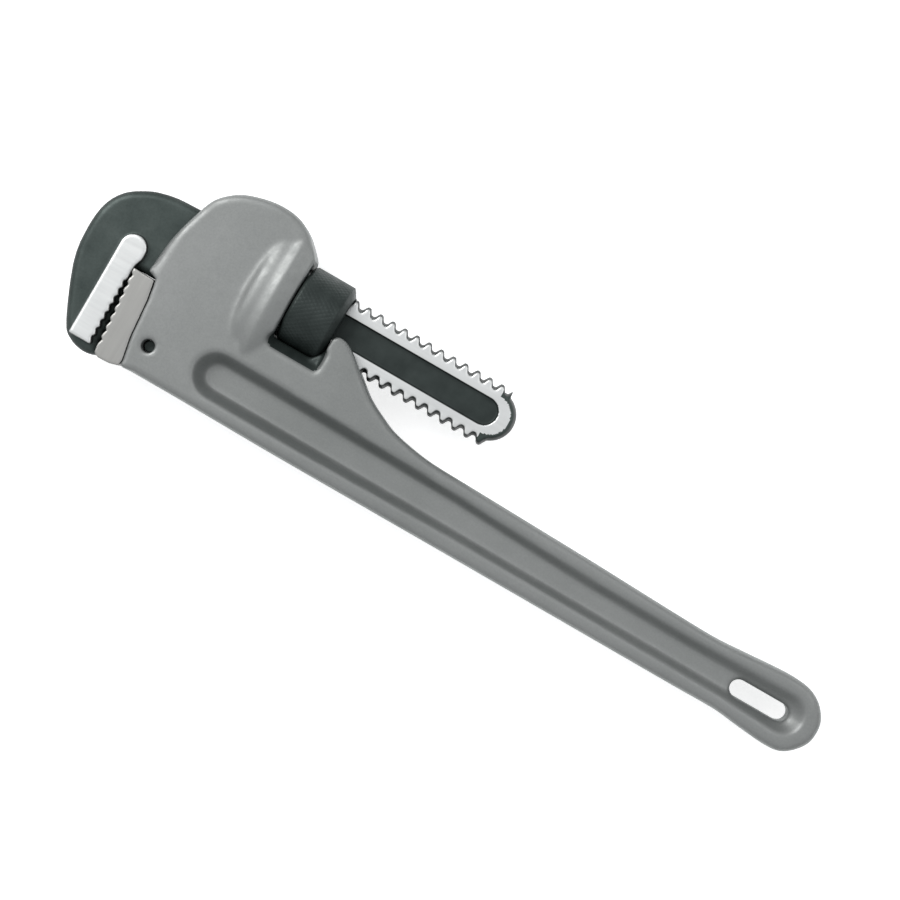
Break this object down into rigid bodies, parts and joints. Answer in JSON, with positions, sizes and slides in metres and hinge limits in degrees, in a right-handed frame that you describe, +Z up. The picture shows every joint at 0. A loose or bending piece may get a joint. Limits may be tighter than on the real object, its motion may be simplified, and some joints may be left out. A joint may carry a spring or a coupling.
{
  "type": "pipe wrench",
  "caption": "Pipe wrench: cast handle and housing, hook jaw on a flat threaded shank, round adjusting nut, toothed heel jaw; turning the nut slides the jaw, and a spring lets it rock",
  "frame": {"origin": "centre of the bounding box, on the underside that the wrench lies on", "axes": "+X along the handle towards its hanging end, +Y towards the back of the hook jaw and housing, +Z up through the thickness of the wrench as it lies on its side"},
  "size_m": [0.2986, 0.076, 0.0292],
  "materials": {
    "cast_aluminium": "as cast, satin grey",
    "jaw_steel": "hardened, dull bright",
    "dark_steel": "dark oxide forging with ground bright tooth bar and thread",
    "nut_steel": "dark oxide, knurled",
    "spring_steel": "plain spring steel"
  },
  "bodies": {
    "handle": {"handle_body": "cast_aluminium", "heel_jaw": "jaw_steel", "heel_jaw_pin": "spring_steel"},
    "spring_set": {"flat_spring": "spring_steel", "coil_spring": "spring_steel", "spring_rivet": "spring_steel"},
    "hook": {"hook_jaw": "dark_steel"},
    "nut": {"adjusting_nut": "nut_steel"}
  },
  "joints": [
    {"name": "hook_rock", "type": "hinge", "parent": "handle", "child": "spring_set", "pos_m": [-0.0675, 0.0124, 0.0146], "axis": [0, 0, 1], "range_deg": [-2, 0], "stiffness_Nm_per_rad": 15, "springref_deg": 1.15, "deforming": ["coil_spring"]},
    {"name": "hook_slide", "type": "slide", "parent": "spring_set", "child": "hook", "axis": [-1, 0, 0], "range_m": [0, 0.05]},
    {"name": "nut_spin", "type": "hinge", "parent": "spring_set", "child": "nut", "pos_m": [-0.0675, 0.0124, 0.0146], "axis": [1, 0, 0], "range_deg": [0, 3800]}
  ],
  "couplings": [
    {"joint": "nut_spin", "follows": "hook_slide", "rad_per_m": 1322.8}
  ]
}
